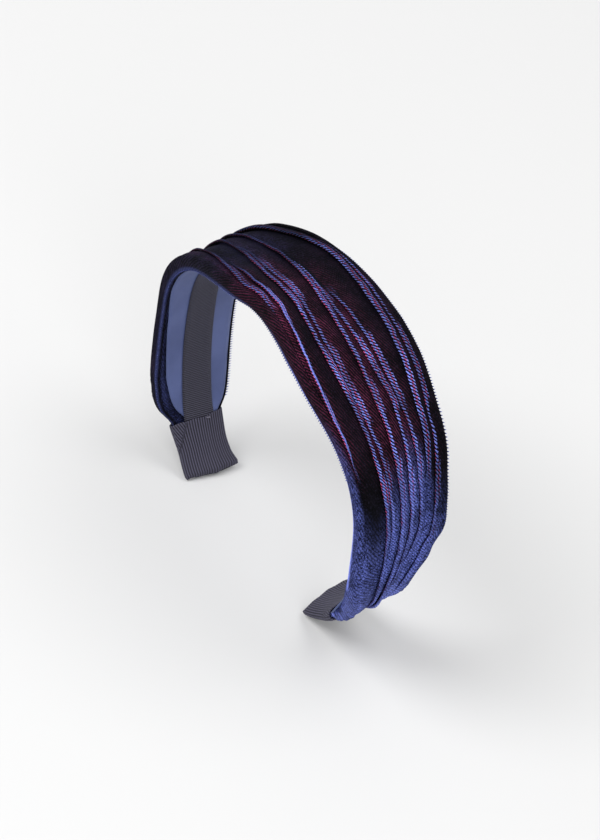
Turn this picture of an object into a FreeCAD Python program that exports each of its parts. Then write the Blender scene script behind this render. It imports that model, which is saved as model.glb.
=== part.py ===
import FreeCAD, Part
import math
import os
import Sketcher

# A wide, hard hair band in its own frame, in millimetres: +X across the head, +Y from the front edge to
# the back edge, +Z up to the crown. The origin is on the floor, midway between the two tips.
# From inside to outside the band is a centre ribbon, a lining, a stiff core, a thin foam pad and a pleated
# cover whose edges turn in beside the lining. A fabric cuff closes each tip and is the foot it stands on.
# The right half is modelled and mirrored, because the band flexes at its crown.

PARTS_FOLDER = "parts"
SHEET = "Dimensions"

# Driving dimensions: alias, value in millimetres or degrees, meaning.
DRIVING = (
    ("crown_radius", 92, "inner line, arc over the top of the head"),
    ("crown_angle", 30, "slope where the crown arc ends"),
    ("shoulder_radius", 36, "inner line, arc that turns down the side"),
    ("shoulder_angle", 89, "slope where the shoulder arc ends"),
    ("side_radius", 126, "inner line, arc beside the temple"),
    ("side_angle", 110, "slope where the side arc ends"),
    ("lower_radius", 45, "inner line, arc that curls in behind the ear"),
    ("tip_angle", 148, "slope at the tip"),
    ("flex_gap", 0.1, "gap between the two halves at the crown"),
    ("layer_gap", 0.05, "gap between neighbouring layers"),
    ("ribbon_thickness", 0.4, "centre ribbon"),
    ("ribbon_half", 6, "half the width of a 12 mm ribbon"),
    ("lining_thickness", 0.6, "satin lining"),
    ("core_thickness", 1.6, "moulded hoop"),
    ("core_edge_inset", 2.6, "core edge inside the cover edge"),
    ("core_end_half", 8.0, "half width of the core in the cuff"),
    ("foam_thickness", 2.0, "foam pad"),
    ("foam_tip_inset", 27, "foam end before the tip, along the band"),
    ("cover_thickness", 2.3, "pleated velvet over the foam"),
    ("cover_edge", 2.2, "velvet wrapped round each edge"),
    ("cover_roundness", 2.0, "radius of the rolled outer edges"),
    ("crown_half", 23.6, "half width of the cover at the crown"),
    ("leg_top_half", 18.4, "half width where the flare ends"),
    ("leg_low_half", 14.4, "half width where the gather starts"),
    ("neck_half", 9.3, "half width of the cover inside the cuff"),
    ("flare_top_rise", 2.5, "start of the flare above the inner line's crown"),
    ("flare_drop", 24, "end of the flare under the inner line's crown"),
    ("gather_rise", 14, "height of the gather above the cuff"),
    ("neck_thickness", 0.8, "gathered velvet inside the cuff"),
    ("neck_depth", 9, "velvet tucked into the cuff, along the band"),
    ("lining_edge_top", 1.6, "lining edge inside the cover edge, above"),
    ("lining_edge_low", 3.0, "lining edge inside the cover edge, below"),
    ("lining_end_half", 7.0, "half width of the lining in the cuff"),
    ("cuff_length", 21, "cuff along the band"),
    ("cuff_half", 10.1, "half width of the cuff"),
    ("cuff_wall", 0.6, "cuff fabric"),
    ("cuff_end_wall", 1.6, "folded fabric at the tip"),
    ("foot_trim", 0.9, "height that the level foot takes off the tip"),
    ("thread_radius", 0.15, "gathering thread"),
    ("thread_pitch", 2.5, "between rows of gathering thread"),
    ("tack_radius", 0.3, "thread tack on the cuff"),
    ("tack_half", 1.1, "half the length of a tack"),
    ("outline_reach", 34, "half width of a layer before its edges are cut"),
    ("trim_room", 4, "how far a cutting outline runs past the band"),
)

# Dimensions that follow from the driving ones. Offsets are outward from the inner line, which is the inner
# face of the lining; angles are slopes from the horizontal; sin and cos read degrees.
DERIVED = (
    ("half_gap", "flex_gap / 2"),
    ("ribbon_outer", "-layer_gap"),
    ("ribbon_inner", "ribbon_outer - ribbon_thickness"),
    ("lining_inner", "0"),
    ("core_inner", "lining_thickness + layer_gap"),
    ("core_outer", "core_inner + core_thickness"),
    ("foam_inner", "core_outer + layer_gap"),
    ("foam_outer", "foam_inner + foam_thickness"),
    ("hollow_outer", "foam_outer + layer_gap"),
    ("cover_outer", "hollow_outer + cover_thickness"),
    ("neck_outer", "foam_inner + neck_thickness"),
    ("sleeve_inner", "ribbon_inner - layer_gap"),
    ("cuff_inner", "sleeve_inner - cuff_wall"),
    ("sleeve_outer", "neck_outer + 2 * thread_radius + 2 * layer_gap"),
    ("cuff_outer", "sleeve_outer + cuff_wall"),
    ("inner_drop", "crown_radius * (1 - cos(crown_angle))"
     " + shoulder_radius * (cos(crown_angle) - cos(shoulder_angle))"
     " + side_radius * (cos(shoulder_angle) - cos(side_angle))"
     " + lower_radius * (cos(side_angle) - cos(tip_angle))"),
    ("inner_height", "inner_drop - cuff_outer * cos(tip_angle) - foot_trim"),
    ("crown_centre_z", "inner_height - crown_radius"),
    ("shoulder_centre_x", "(crown_radius - shoulder_radius) * sin(crown_angle)"),
    ("shoulder_centre_z", "crown_centre_z + (crown_radius - shoulder_radius) * cos(crown_angle)"),
    ("side_centre_x", "shoulder_centre_x + (shoulder_radius - side_radius) * sin(shoulder_angle)"),
    ("side_centre_z", "shoulder_centre_z + (shoulder_radius - side_radius) * cos(shoulder_angle)"),
    ("lower_centre_x", "side_centre_x + (side_radius - lower_radius) * sin(side_angle)"),
    ("lower_centre_z", "side_centre_z + (side_radius - lower_radius) * cos(side_angle)"),
    ("per_length", "180 / pi / lower_radius"),
    ("cuff_top_angle", "tip_angle - cuff_length * per_length"),
    ("cover_end_angle", "cuff_top_angle - layer_gap * per_length"),
    ("neck_end_angle", "cuff_top_angle + neck_depth * per_length"),
    ("hollow_end_angle", "neck_end_angle + trim_room * per_length"),
    ("sleeve_start_angle", "cuff_top_angle - trim_room * per_length"),
    ("foam_end_angle", "tip_angle - foam_tip_inset * per_length"),
    ("sleeve_end_angle", "tip_angle - cuff_end_wall * per_length"),
    ("core_end_angle", "sleeve_end_angle - layer_gap * per_length"),
    ("height", "inner_height + cover_outer"),
    ("cut_top", "height + trim_room"),
    ("cut_reach", "outline_reach + trim_room"),
    ("cut_low", "-trim_room"),
    ("window_inner", "-trim_room / 4"),
    ("flare_top_z", "inner_height + flare_top_rise"),
    ("flare_z", "inner_height - flare_drop"),
    ("cuff_top_z", "lower_centre_z + (lower_radius + cover_outer) * cos(cuff_top_angle)"),
    ("gather_z", "cuff_top_z + gather_rise"),
    ("core_crown_half", "crown_half - core_edge_inset"),
    ("core_leg_top_half", "leg_top_half - core_edge_inset"),
    ("core_leg_low_half", "leg_low_half - core_edge_inset"),
    ("hollow_crown_half", "crown_half - cover_edge"),
    ("hollow_leg_top_half", "leg_top_half - cover_edge"),
    ("hollow_leg_low_half", "leg_low_half - cover_edge"),
    ("hollow_end_half", "core_end_half + layer_gap"),
    ("lining_crown_half", "crown_half - lining_edge_top"),
    ("lining_leg_top_half", "leg_top_half - lining_edge_top"),
    ("lining_leg_low_half", "leg_low_half - lining_edge_low"),
    ("window_crown_half", "lining_crown_half + layer_gap"),
    ("window_leg_top_half", "lining_leg_top_half + layer_gap"),
    ("window_leg_low_half", "lining_leg_low_half + layer_gap"),
    ("window_end_half", "lining_end_half + layer_gap"),
    ("sleeve_half", "cuff_half - cuff_wall"),
    ("foot_reach", "crown_radius"),
    ("thread_half", "neck_half - 2 * thread_radius"),
    ("thread_line", "lower_radius + neck_outer + layer_gap + thread_radius"),
    ("tack_line", "lower_radius + cuff_inner - tack_radius - layer_gap"),
    ("tack_angle", "cuff_top_angle + 2 * tack_radius * per_length"),
    ("tack_x", "lower_centre_x + tack_line * sin(tack_angle)"),
    ("tack_z", "lower_centre_z + tack_line * cos(tack_angle)"),
)

# The rows of gathering thread, counted down from the cuff's top edge.
THREAD_ROWS = ("_first", "_second", "_third")
DERIVED += tuple(
    ("thread%s_%s" % (word, axis), "lower_centre_%s + thread_line * %s(cuff_top_angle + %d * thread_pitch * per_length)"
     % (axis, wave, row))
    for row, word in enumerate(THREAD_ROWS, start=1) for axis, wave in (("x", "sin"), ("z", "cos")))

# Points of a sketch line or arc. An arc is drawn counterclockwise, so its near end is the one by the crown.
START = 1
END = 2
CENTRE = 3
NEAR_END = END
FAR_END = START
ORIGIN_POINT = (-1, 1)
HEIGHT_AXIS = -2

VOLUME_TOLERANCE = 1e-6
SLOPE_TOLERANCE = 1e-3
EDGE_TOLERANCE = 1e-3
EDGE_SAMPLES = 5
HALF_TURN = 180

doc = FreeCAD.newDocument("HeadBand")


def write_sheet():
    """Put every dimension in the document's spreadsheet under its alias."""
    sheet = doc.addObject("Spreadsheet::Sheet", SHEET)
    rows = [(alias, str(value), note) for alias, value, note in DRIVING]
    rows += [(alias, "=" + formula, "") for alias, formula in DERIVED]
    for number, (alias, content, note) in enumerate(rows, start=1):
        sheet.set("A%d" % number, alias)
        sheet.set("C%d" % number, note)
        sheet.setAlias("B%d" % number, alias)
    for number, (alias, content, note) in enumerate(rows, start=1):
        sheet.set("B%d" % number, content)
    doc.recompute()
    return sheet


sheet = write_sheet()


def size(alias):
    """The value of a dimension, in millimetres or degrees."""
    return float(sheet.get(alias))


def bind(sketch, geometry, point, across, up):
    """Fix a sketch point's two coordinates to dimensions; None leaves one free."""
    for kind, alias in (("DistanceX", across), ("DistanceY", up)):
        if alias is None:
            continue
        index = sketch.addConstraint(
            Sketcher.Constraint(kind, *ORIGIN_POINT, geometry, point, size(alias)))
        sketch.setExpression("Constraints[%d]" % index, "%s.%s" % (SHEET, alias))


def bind_value(sketch, constraint, formula):
    """Add a dimensional constraint and bind it to a formula of dimensions."""
    index = sketch.addConstraint(constraint)
    sketch.setExpression("Constraints[%d]" % index, formula)


def vector(across, up):
    return FreeCAD.Vector(across, up, 0)


def join(sketch, first, first_point, second, second_point):
    sketch.addConstraint(Sketcher.Constraint("Coincident", first, first_point, second, second_point))


def smooth(sketch, first, first_point, second, second_point):
    sketch.addConstraint(Sketcher.Constraint("Tangent", first, first_point, second, second_point))


def new_sketch(body, name, role):
    """A sketch on one of the body's own origin planes."""
    sketch = body.newObject("Sketcher::SketchObject", name)
    sketch.AttachmentSupport = origin_plane(body, role)
    sketch.MapMode = "FlatFace"
    return sketch


ARCH = (
    ("crown_radius", None, "crown_angle", (None, "crown_centre_z")),
    ("shoulder_radius", "crown_angle", "shoulder_angle", ("shoulder_centre_x", "shoulder_centre_z")),
    ("side_radius", "shoulder_angle", "side_angle", ("side_centre_x", "side_centre_z")),
    ("lower_radius", "side_angle", None, ("lower_centre_x", "lower_centre_z")),
)


def circle_arc(sketch, centre, radius, first_angle, last_angle):
    """Add an arc between two angles, counterclockwise from the sketch's first axis, in radians."""
    circle = Part.Circle(vector(*centre), FreeCAD.Vector(0, 0, 1), radius)
    return sketch.addGeometry(Part.ArcOfCircle(circle, first_angle, last_angle), False)


def sketch_arc(sketch, centre, radius, start_slope, end_slope):
    """Add an arc whose slope runs from start_slope to end_slope, in degrees."""
    return circle_arc(sketch, centre, radius, math.radians(90 - end_slope), math.radians(90 - start_slope))


def sketch_line(sketch, start, end):
    return sketch.addGeometry(Part.LineSegment(vector(*start), vector(*end)), False)


def arc_point(centre, radius, slope):
    angle = math.radians(slope)
    return centre[0] + radius * math.sin(angle), centre[1] + radius * math.cos(angle)


def close_tip(sketch, inner_arc, outer_arc, centre, radii, end_alias):
    """Close a strip with a line across it that points at the arcs' common centre."""
    slope = size(end_alias)
    line = sketch_line(sketch, arc_point(centre, radii[1], slope), arc_point(centre, radii[0], slope))
    join(sketch, line, START, outer_arc, FAR_END)
    join(sketch, line, END, inner_arc, FAR_END)
    sketch.addConstraint(Sketcher.Constraint("PointOnObject", inner_arc, CENTRE, line))
    angle = Sketcher.Constraint("Angle", line, math.radians(270 - slope))
    bind_value(sketch, angle, "270 - %s.%s" % (SHEET, end_alias))


def arch_sketch(body, name, inner_alias, outer_alias, end_alias):
    """The long strip between two offsets of the inner line, from the crown to end_alias."""
    sketch = new_sketch(body, name, "XZ_Plane")
    chains = []
    start_x = size("half_gap")
    for offset_alias in (inner_alias, outer_alias):
        chain = []
        for radius_alias, start_alias, stop_alias, centre_aliases in ARCH:
            centre = [size(alias) if alias else 0 for alias in centre_aliases]
            radius = size(radius_alias) + size(offset_alias)
            first = math.degrees(math.asin(start_x / radius)) if start_alias is None else size(start_alias)
            last = size(stop_alias or end_alias)
            chain.append(sketch_arc(sketch, centre, radius, first, last))
        for before, after in zip(chain, chain[1:]):
            smooth(sketch, before, FAR_END, after, NEAR_END)
        chains.append(chain)
        first_radius = Sketcher.Constraint("Radius", chain[0], size("crown_radius") + size(offset_alias))
        bind_value(sketch, first_radius, "%s.crown_radius + %s.%s" % (SHEET, SHEET, offset_alias))
    inner_chain, outer_chain = chains
    for inner_arc, outer_arc, (_, _, _, (across, up)) in zip(inner_chain, outer_chain, ARCH):
        if across is None:
            sketch.addConstraint(Sketcher.Constraint("PointOnObject", inner_arc, CENTRE, HEIGHT_AXIS))
        bind(sketch, inner_arc, CENTRE, across, up)
        join(sketch, inner_arc, CENTRE, outer_arc, CENTRE)
    seam_ends = [size("crown_centre_z") + math.sqrt((size("crown_radius") + size(alias)) ** 2 - start_x ** 2)
                 for alias in (inner_alias, outer_alias)]
    seam = sketch_line(sketch, (start_x, seam_ends[0]), (start_x, seam_ends[1]))
    join(sketch, seam, START, inner_chain[0], NEAR_END)
    join(sketch, seam, END, outer_chain[0], NEAR_END)
    sketch.addConstraint(Sketcher.Constraint("Vertical", seam))
    bind(sketch, seam, START, "half_gap", None)
    lower_centre = (size("lower_centre_x"), size("lower_centre_z"))
    radii = [size("lower_radius") + size(alias) for alias in (inner_alias, outer_alias)]
    close_tip(sketch, inner_chain[-1], outer_chain[-1], lower_centre, radii, end_alias)
    return sketch


def pad_across(body, sketch, half_alias, name):
    """Pad a strip to both sides of the band's middle plane."""
    pad = body.newObject("PartDesign::Pad", name)
    pad.Profile = sketch
    pad.Midplane = True
    pad.setExpression("Length", "2 * %s.%s" % (SHEET, half_alias))
    return pad


def close_start(sketch, inner_arc, outer_arc, centre, radii, start_alias):
    """The crown-side end of a short strip, also pointing at the arcs' common centre."""
    slope = size(start_alias)
    line = sketch_line(sketch, arc_point(centre, radii[0], slope), arc_point(centre, radii[1], slope))
    join(sketch, line, START, inner_arc, NEAR_END)
    join(sketch, line, END, outer_arc, NEAR_END)
    sketch.addConstraint(Sketcher.Constraint("PointOnObject", inner_arc, CENTRE, line))
    angle = Sketcher.Constraint("Angle", line, math.radians(90 - slope))
    bind_value(sketch, angle, "90 - %s.%s" % (SHEET, start_alias))


def tip_sketch(body, name, inner_alias, outer_alias, start_alias, end_alias):
    """A short strip on the lower arc only, for what belongs to the tip."""
    sketch = new_sketch(body, name, "XZ_Plane")
    centre = (size("lower_centre_x"), size("lower_centre_z"))
    radii = [size("lower_radius") + size(alias) for alias in (inner_alias, outer_alias)]
    arcs = []
    for radius, alias in zip(radii, (inner_alias, outer_alias)):
        arc = sketch_arc(sketch, centre, radius, size(start_alias), size(end_alias))
        bind_value(sketch, Sketcher.Constraint("Radius", arc, radius),
                   "%s.lower_radius + %s.%s" % (SHEET, SHEET, alias))
        arcs.append(arc)
    bind(sketch, arcs[0], CENTRE, "lower_centre_x", "lower_centre_z")
    join(sketch, arcs[0], CENTRE, arcs[1], CENTRE)
    close_start(sketch, *arcs, centre, radii, start_alias)
    close_tip(sketch, *arcs, centre, radii, end_alias)
    return sketch


def outline_sketch(body, name, crown_alias, leg_top_alias, leg_low_alias, end_alias):
    """The region outside a layer's back edge, seen from the side of the head.

    The edge is plumb at the crown, then a flare arc, a slightly raked line down the leg, two equal arcs
    that draw it in above the cuff, and a plumb line to the tip.
    """
    sketch = new_sketch(body, name, "YZ_Plane")
    crown, leg_top, leg_low, end = (size(a) for a in (crown_alias, leg_top_alias, leg_low_alias, end_alias))
    flare_top_z, flare_z, gather_z, cuff_top_z = (
        size(a) for a in ("flare_top_z", "flare_z", "gather_z", "cuff_top_z"))
    top, low, reach = (size(a) for a in ("cut_top", "cut_low", "cut_reach"))
    rake = math.atan2(leg_top - leg_low, flare_z - gather_z)
    chord = math.atan2(crown - leg_top, flare_top_z - flare_z)
    turn = 2 * (chord - rake)
    flare_radius = math.hypot(crown - leg_top, flare_top_z - flare_z) / 2 / math.sin(turn / 2)
    flare_centre = (leg_top + flare_radius * math.cos(rake), flare_z - flare_radius * math.sin(rake))
    flare = circle_arc(sketch, flare_centre, flare_radius, math.pi - rake - turn, math.pi - rake)
    leg = sketch_line(sketch, (leg_top, flare_z), (leg_low, gather_z))
    draw = leg_low - end
    rise = gather_z - cuff_top_z
    bend_radius = (draw ** 2 + rise ** 2) / 4 / draw
    sweep = math.asin(rise / 2 / bend_radius)
    upper_centre = (leg_low - bend_radius, gather_z)
    lower_centre = (end + bend_radius, cuff_top_z)
    upper = circle_arc(sketch, upper_centre, bend_radius, -sweep, 0)
    lower = circle_arc(sketch, lower_centre, bend_radius, math.pi - sweep, math.pi)
    corners = ((end, cuff_top_z), (end, low), (reach, low), (reach, top), (crown, top), (crown, flare_top_z))
    frame = [sketch_line(sketch, start, stop) for start, stop in zip(corners, corners[1:])]
    for before, after in zip(frame, frame[1:]):
        join(sketch, before, END, after, START)
    neck, floor, side, roof, wall = frame
    for line in (neck, side, wall):
        sketch.addConstraint(Sketcher.Constraint("Vertical", line))
    for line in (floor, roof):
        sketch.addConstraint(Sketcher.Constraint("Horizontal", line))
    join(sketch, wall, END, flare, START)
    smooth(sketch, flare, END, leg, START)
    smooth(sketch, leg, END, upper, END)
    smooth(sketch, upper, START, lower, START)
    smooth(sketch, lower, END, neck, START)
    sketch.addConstraint(Sketcher.Constraint("Equal", upper, lower))
    bind(sketch, flare, START, crown_alias, "flare_top_z")
    bind(sketch, leg, START, leg_top_alias, "flare_z")
    bind(sketch, leg, END, leg_low_alias, "gather_z")
    bind(sketch, neck, START, end_alias, "cuff_top_z")
    bind(sketch, side, START, "cut_reach", "cut_low")
    bind(sketch, side, END, None, "cut_top")
    return sketch


def new_body(name):
    return doc.addObject("PartDesign::Body", name)


def origin_plane(body, role):
    """One of the body's own origin planes, as a link with no sub-element."""
    return next(feature for feature in body.Origin.OriginFeatures if feature.Role == role), [""]


def trim_edges(body, name, crown_alias, leg_top_alias, leg_low_alias, end_alias):
    """Cut the layer to its side outline along the back edge, and mirror the cut to the front edge."""
    doc.recompute()
    whole = body.Shape.Volume
    cut = body.newObject("PartDesign::Pocket", name + "Edge")
    cut.Profile = outline_sketch(body, name + "Outline", crown_alias, leg_top_alias, leg_low_alias, end_alias)
    cut.Type = "ThroughAll"
    cut.Reversed = True
    mirror = body.newObject("PartDesign::Mirrored", name + "BothEdges")
    mirror.Originals = [cut]
    mirror.MirrorPlane = origin_plane(body, "XZ_Plane")
    body.Tip = mirror
    doc.recompute()
    one_edge = whole - cut.Shape.Volume
    both_edges = whole - body.Shape.Volume
    if one_edge <= 0 or abs(both_edges - 2 * one_edge) > VOLUME_TOLERANCE * whole:
        raise RuntimeError("%s: an edge cut removed the wrong volume" % name)


def layer(name, strips, outline=None, half_alias="outline_reach"):
    """A layer of the band: arch strips (inner offset, outer offset, end slope) cut to a side outline."""
    body = new_body(name)
    for number, (inner_alias, outer_alias, end_alias) in enumerate(strips, start=1):
        arch = arch_sketch(body, "%sArch%d" % (name, number), inner_alias, outer_alias, end_alias)
        pad_across(body, arch, half_alias, "%sStrip%d" % (name, number))
    if outline:
        trim_edges(body, name, *outline)
    return body


def inner_offset(point):
    """How far a point lies outside the inner line, or None beyond the line's ends."""
    slopes = [0] + [size(stop_alias) for _, _, stop_alias, _ in ARCH[:-1]] + [HALF_TURN]
    for (radius_alias, _, _, centre_aliases), low, high in zip(ARCH, slopes, slopes[1:]):
        centre = [size(alias) if alias else 0 for alias in centre_aliases]
        across, up = point.x - centre[0], point.z - centre[1]
        slope = math.degrees(math.atan2(across, up))
        if low - SLOPE_TOLERANCE <= slope <= high + SLOPE_TOLERANCE:
            return math.hypot(across, up) - size(radius_alias)
    return None


def rolled_edges(shape, offset_alias):
    """Names of the long edges that run along the band on the face at one offset."""
    names = []
    for number, edge in enumerate(shape.Edges, start=1):
        points = edge.discretize(EDGE_SAMPLES)
        offsets = [inner_offset(point) for point in points]
        on_face = all(o is not None and abs(o - size(offset_alias)) < EDGE_TOLERANCE for o in offsets)
        along = max(point.y for point in points) - min(point.y for point in points) < edge.Length / 2
        if on_face and along and min(abs(point.y) for point in points) > size("neck_half") / 2:
            names.append("Edge%d" % number)
    return names


def round_edges(body, name, offset_alias, radius_alias):
    """Round the long edges of the face at one offset."""
    doc.recompute()
    square = body.Tip
    fillet = body.newObject("PartDesign::Fillet", name)
    fillet.Base = (square, rolled_edges(square.Shape, offset_alias))
    fillet.setExpression("Radius", "%s.%s" % (SHEET, radius_alias))
    body.Tip = fillet
    doc.recompute()


def cut(name, base, tools):
    """The base body less each tool body in turn."""
    for number, tool in enumerate(tools, start=1):
        difference = doc.addObject("Part::Cut", name if tool is tools[-1] else "%sStep%d" % (name, number))
        difference.Base = base
        difference.Tool = tool
        base = difference
    return base


def make_core():
    """The moulded hoop that gives the band its shape and its spring."""
    return layer("Core", (("core_inner", "core_outer", "core_end_angle"),),
                 ("core_crown_half", "core_leg_top_half", "core_leg_low_half", "core_end_half"))


def make_foam():
    """The soft pad over the hoop, which stops above the cuff."""
    return layer("Foam", (("foam_inner", "foam_outer", "foam_end_angle"),),
                 ("core_crown_half", "core_leg_top_half", "core_leg_low_half", "core_end_half"))


def make_cover():
    """The velvet: over the foam, round both edges, turned in beside the lining, and thin in the cuff."""
    velvet = layer("CoverBlank",
                   (("lining_inner", "cover_outer", "cover_end_angle"),
                    ("lining_inner", "neck_outer", "neck_end_angle")),
                   ("crown_half", "leg_top_half", "leg_low_half", "neck_half"))
    round_edges(velvet, "CoverRoll", "cover_outer", "cover_roundness")
    hollow = layer("CoverHollow",
                   (("lining_thickness", "hollow_outer", "foam_end_angle"),
                    ("lining_thickness", "foam_inner", "hollow_end_angle")),
                   ("hollow_crown_half", "hollow_leg_top_half", "hollow_leg_low_half", "hollow_end_half"))
    window = layer("CoverWindow", (("window_inner", "core_inner", "hollow_end_angle"),),
                   ("window_crown_half", "window_leg_top_half", "window_leg_low_half", "window_end_half"))
    return cut("Cover", velvet, (hollow, window))


def make_lining():
    """The satin lining, between the two turned-in velvet edges."""
    return layer("Lining", (("lining_inner", "lining_thickness", "core_end_angle"),),
                 ("lining_crown_half", "lining_leg_top_half", "lining_leg_low_half", "lining_end_half"))


def make_ribbon():
    """The grosgrain ribbon along the middle of the lining."""
    return layer("Ribbon", (("ribbon_inner", "ribbon_outer", "core_end_angle"),), half_alias="ribbon_half")


def make_cuff():
    """The grosgrain cuff: a sleeve over every layer, closed at the tip and cut level to stand on."""
    body = new_body("Cuff")
    outside = tip_sketch(body, "CuffOutside", "cuff_inner", "cuff_outer", "cuff_top_angle", "tip_angle")
    pad_across(body, outside, "cuff_half", "CuffBlock")
    doc.recompute()
    solid_volume = body.Shape.Volume
    sleeve = body.newObject("PartDesign::Pocket", "CuffSleeve")
    sleeve.Profile = tip_sketch(
        body, "CuffInside", "sleeve_inner", "sleeve_outer", "sleeve_start_angle", "sleeve_end_angle")
    sleeve.Midplane = True
    sleeve.setExpression("Length", "2 * %s.sleeve_half" % SHEET)
    foot = body.newObject("PartDesign::Pocket", "CuffFoot")
    foot.Profile = foot_sketch(body)
    foot.Type = "ThroughAll"
    foot.Midplane = True
    body.Tip = foot
    doc.recompute()
    if not 0 < foot.Shape.Volume < sleeve.Shape.Volume < solid_volume:
        raise RuntimeError("the cuff's sleeve or foot cut nothing")
    return body


def foot_sketch(body):
    """A rectangle under the floor, across the tip."""
    sketch = new_sketch(body, "FootCut", "XZ_Plane")
    low, far = size("cut_low"), size("foot_reach")
    corners = ((0, 0), (far, 0), (far, low), (0, low), (0, 0))
    lines = [sketch_line(sketch, start, stop) for start, stop in zip(corners, corners[1:])]
    for before, after in zip(lines, lines[1:] + lines[:1]):
        join(sketch, before, END, after, START)
    for number, line in enumerate(lines):
        sketch.addConstraint(Sketcher.Constraint("Vertical" if number % 2 else "Horizontal", line))
    sketch.addConstraint(Sketcher.Constraint("Coincident", lines[0], START, *ORIGIN_POINT))
    bind(sketch, lines[1], END, "foot_reach", "cut_low")
    return sketch


def cylinder_across(name, radius_alias, half_alias, x_alias, z_alias):
    """A cylinder along Y, centred on the band's middle plane."""
    cylinder = doc.addObject("Part::Cylinder", name)
    cylinder.Placement = FreeCAD.Placement(FreeCAD.Vector(), FreeCAD.Rotation(FreeCAD.Vector(1, 0, 0), 90))
    cylinder.setExpression("Radius", "%s.%s" % (SHEET, radius_alias))
    cylinder.setExpression("Height", "2 * %s.%s" % (SHEET, half_alias))
    cylinder.setExpression("Placement.Base.x", "%s.%s" % (SHEET, x_alias))
    cylinder.setExpression("Placement.Base.y", "%s.%s" % (SHEET, half_alias))
    cylinder.setExpression("Placement.Base.z", "%s.%s" % (SHEET, z_alias))
    return cylinder


def make_gather_thread():
    """Rows of thread that hold the velvet's pleats together inside the cuff."""
    rows = doc.addObject("Part::Compound", "GatherThread")
    rows.Links = [cylinder_across("GatherRow%d" % row, "thread_radius", "thread_half",
                                  "thread%s_x" % word, "thread%s_z" % word)
                  for row, word in enumerate(THREAD_ROWS, start=1)]
    return rows


def make_cuff_tack():
    """The small thread tack that holds the cuff's edge to the ribbon."""
    return cylinder_across("CuffTack", "tack_radius", "tack_half", "tack_x", "tack_z")


def mirror_to_left(name, source):
    mirror = doc.addObject("Part::Mirroring", name)
    mirror.Source = source
    mirror.Normal = FreeCAD.Vector(1, 0, 0)
    return mirror


PIECES = (
    ("core_band", make_core),
    ("foam_pad", make_foam),
    ("velvet_cover", make_cover),
    ("lining", make_lining),
    ("centre_ribbon", make_ribbon),
    ("cuff", make_cuff),
    ("gather_thread", make_gather_thread),
    ("cuff_tack", make_cuff_tack),
)


def check_document():
    """Stop if any object of the document has failed to recompute."""
    doc.recompute()
    for item in doc.Objects:
        if "Invalid" in item.State or "Error" in item.State:
            raise RuntimeError("%s did not recompute: %s" % (item.Name, item.State))


def export_piece(piece):
    """Write one piece's solids to a STEP file named after its label."""
    shape = piece.Shape
    if shape.isNull() or not shape.isValid() or not shape.Solids:
        raise RuntimeError("%s has no valid shape" % piece.Label)
    shape.exportStep(os.path.join(PARTS_FOLDER, piece.Label + ".step"))
    box = shape.BoundBox
    print("%-22s %d solids %10.2f mm3   x %7.2f %7.2f   y %7.2f %7.2f   z %7.2f %7.2f" % (
        piece.Label, len(shape.Solids), shape.Volume,
        box.XMin, box.XMax, box.YMin, box.YMax, box.ZMin, box.ZMax))


pieces = []
for name, make in PIECES:
    right = make()
    right.Label = name + "_right"
    left = mirror_to_left(right.Name + "Left", right)
    left.Label = name + "_left"
    pieces += [left, right]

check_document()
os.makedirs(PARTS_FOLDER, exist_ok=True)
for piece in pieces:
    export_piece(piece)
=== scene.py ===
import math

import bpy
import numpy as np
from mathutils import Matrix, Vector


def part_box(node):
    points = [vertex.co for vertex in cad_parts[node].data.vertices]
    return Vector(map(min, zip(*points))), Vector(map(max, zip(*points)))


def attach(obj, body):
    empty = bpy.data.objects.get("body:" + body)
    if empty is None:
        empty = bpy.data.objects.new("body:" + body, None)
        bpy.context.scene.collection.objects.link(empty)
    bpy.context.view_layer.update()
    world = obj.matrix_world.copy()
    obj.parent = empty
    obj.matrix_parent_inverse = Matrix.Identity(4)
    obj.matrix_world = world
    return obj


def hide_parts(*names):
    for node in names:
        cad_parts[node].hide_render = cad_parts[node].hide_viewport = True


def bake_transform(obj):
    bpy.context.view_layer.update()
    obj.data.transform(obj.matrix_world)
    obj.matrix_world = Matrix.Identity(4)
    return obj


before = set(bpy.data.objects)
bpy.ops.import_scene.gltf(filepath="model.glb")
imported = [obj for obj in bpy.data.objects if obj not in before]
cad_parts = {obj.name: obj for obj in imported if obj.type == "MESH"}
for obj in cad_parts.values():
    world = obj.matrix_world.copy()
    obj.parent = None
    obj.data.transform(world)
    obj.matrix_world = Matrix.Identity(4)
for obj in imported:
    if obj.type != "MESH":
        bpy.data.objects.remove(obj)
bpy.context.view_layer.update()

# The band's own frame: +X across the head, +Y from the front edge to the back edge, +Z up. Tables give
# distances in millimetres. s runs along the band from the crown, below zero to the left; across runs from
# the front edge to the back; off is the distance outward from the inner face of the lining.
MM = 0.001
LEFT, RIGHT = "left_half", "right_half"
SIDES = ("left", "right")

# The arcs of the inner line on the right: radius, and slope where the arc ends, in degrees.
ARCS = ((92, 30), (36, 89), (126, 110), (45, 148))
ARC_STARTS = (0,) + tuple(end for _, end in ARCS[:-1])
HALF_LENGTH = sum(radius * math.radians(end - start) for (radius, end), start in zip(ARCS, ARC_STARTS))
# How far tables and lines run on past a tip.
PAST_TIP = 6
LINING_THICKNESS = 0.6
INNER_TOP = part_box("lining_right")[1][2] / MM - LINING_THICKNESS

CUFF_LENGTH = 21
CUFF_TOP = HALF_LENGTH - CUFF_LENGTH
# How far the cover reaches into a cuff.
NECK_DEPTH = 6
# How far each layer ends before the tip.
CORE_END_GAP, LINING_END_GAP, RIBBON_END_GAP, FOAM_END_GAP = 1.7, 4, 5, 27

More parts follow.
